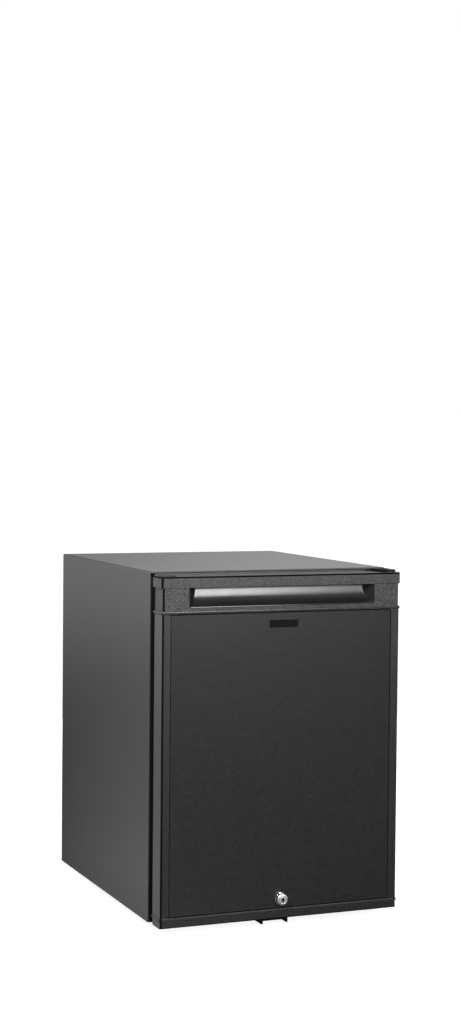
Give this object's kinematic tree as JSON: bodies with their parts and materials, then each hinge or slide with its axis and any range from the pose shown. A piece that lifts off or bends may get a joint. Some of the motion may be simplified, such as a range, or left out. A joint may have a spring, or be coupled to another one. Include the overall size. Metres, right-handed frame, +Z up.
{
  "type": "minibar fridge",
  "caption": "Compact absorption minibar fridge with a solid right-hinged door, a recessed grip under the door's top cap and a cam lock near its foot.",
  "frame": {"origin": "on the floor under the middle of the bounding box with the door shut", "axes": "+X to the right when facing the door, +Y to the back (the door faces -Y), +Z up"},
  "size_m": [0.402, 0.514, 0.5535],
  "materials": {
    "shell_paint": "satin grey enamel",
    "zinc_sheet": "galvanised",
    "foam": "rigid foam",
    "liner_white": "gloss white",
    "frame_black": "satin black",
    "fin_aluminium": "anodised",
    "tray_clear": "clear",
    "drain_grey": "plain",
    "pan_black": "plain",
    "console_white": "satin white",
    "lens_clear": "frosted clear",
    "knob_white": "satin",
    "foot_black": "plain",
    "foot_rubber": "plain",
    "bracket_black": "black powder coat",
    "steel": "bright zinc",
    "bush_plastic": "natural",
    "moulding_grey": "fine satin",
    "scoop_gloss": "gloss",
    "panel_satin": "satin charcoal",
    "gasket_grey": "soft",
    "badge_black": "gloss",
    "lock_nickel": "nickel plated",
    "unit_black": "black lacquer",
    "wool": "mineral wool",
    "box_plastic": "fine texture",
    "lead_rubber": "plain",
    "shelf_coating": "white coating",
    "rack_clear": "clear"
  },
  "bodies": {
    "cabinet": {"outer_shell": "shell_paint", "base_panel": "zinc_sheet", "back_panel": "zinc_sheet", "insulation": "foam", "inner_liner": "liner_white", "front_frame": "frame_black", "evaporator_fins": "fin_aluminium", "drain_tube": "drain_grey", "drain_pan": "pan_black", "lamp_housing": "console_white", "lamp_lens": "lens_clear", "door_switch": "drain_grey", "rear_feet": "foot_rubber", "hinge_bracket_top": "bracket_black", "hinge_bracket_bottom": "bracket_black", "hinge_pins": "steel", "hinge_hole_plugs": "frame_black", "cabinet_screws": "steel", "lock_strike": "bracket_black", "boiler_jacket": "zinc_sheet", "boiler_wool": "wool", "heater_cartridge": "steel", "heater_lead": "lead_rubber", "rectifier_tube": "unit_black", "condenser_tube": "unit_black", "condenser_fins": "unit_black", "evaporator_tube": "unit_black", "heat_exchanger": "unit_black", "absorber_vessel": "unit_black", "absorber_coil": "unit_black", "control_box": "box_plastic", "cable_gland": "lead_rubber", "unit_straps": "zinc_sheet", "unit_screws": "steel"},
    "lock_plug": {"lock_plug": "lock_nickel", "lock_cam": "steel"},
    "upper_rack": {"upper_rack": "rack_clear"},
    "lower_rack": {"lower_rack": "rack_clear"},
    "shelf_upper": {"shelf_upper": "shelf_coating"},
    "shelf_lower": {"shelf_lower": "shelf_coating"},
    "drip_tray": {"drip_tray": "tray_clear"},
    "thermostat_knob": {"thermostat_knob": "knob_white"},
    "front_foot_left": {"front_foot_left": "foot_black"},
    "front_foot_right": {"front_foot_right": "foot_black"},
    "door": {"door_top_cap": "moulding_grey", "door_hole_plug": "foot_black", "handle_scoop": "scoop_gloss", "door_bottom_cap": "moulding_grey", "door_profile_right": "moulding_grey", "door_profile_left": "moulding_grey", "door_front_panel": "panel_satin", "door_foam": "foam", "door_liner": "liner_white", "door_gasket": "gasket_grey", "door_magnet": "steel", "badge_plate": "badge_black", "lock_body": "lock_nickel", "lock_nut": "steel", "lock_housing": "box_plastic", "hinge_bushes": "bush_plastic"}
  },
  "joints": [
    {"name": "door_hinge", "type": "hinge", "parent": "cabinet", "child": "door", "pos_m": [0.19, -0.236, 0.2813], "axis": [0, 0, 1], "range_deg": [0, 110]},
    {"name": "lock_turn", "type": "hinge", "parent": "door", "child": "lock_plug", "pos_m": [0, -0.24, 0.0446], "axis": [0, -1, 0], "range_deg": [0, 90]},
    {"name": "lower_rack_lift", "type": "slide", "parent": "door", "child": "lower_rack", "axis": [0, 0, 1], "range_m": [0, 0.025]},
    {"name": "upper_rack_lift", "type": "slide", "parent": "door", "child": "upper_rack", "axis": [0, 0, 1], "range_m": [0, 0.025]},
    {"name": "shelf_lower_lift", "type": "slide", "parent": "cabinet", "child": "shelf_lower", "axis": [0, 0, 1], "range_m": [0, 0.012]},
    {"name": "shelf_upper_lift", "type": "slide", "parent": "cabinet", "child": "shelf_upper", "axis": [0, 0, 1], "range_m": [0, 0.012]},
    {"name": "drip_tray_pull", "type": "slide", "parent": "cabinet", "child": "drip_tray", "axis": [0, -1, 0], "range_m": [0, 0.06]},
    {"name": "thermostat_turn", "type": "hinge", "parent": "cabinet", "child": "thermostat_knob", "pos_m": [0.044, -0.118, 0.4995], "axis": [0, -1, 0], "range_deg": [0, 270]},
    {"name": "foot_left_screw", "type": "slide", "parent": "cabinet", "child": "front_foot_left", "axis": [0, 0, -1], "range_m": [0, 0.008]},
    {"name": "foot_right_screw", "type": "slide", "parent": "cabinet", "child": "front_foot_right", "axis": [0, 0, -1], "range_m": [0, 0.008]}
  ]
}
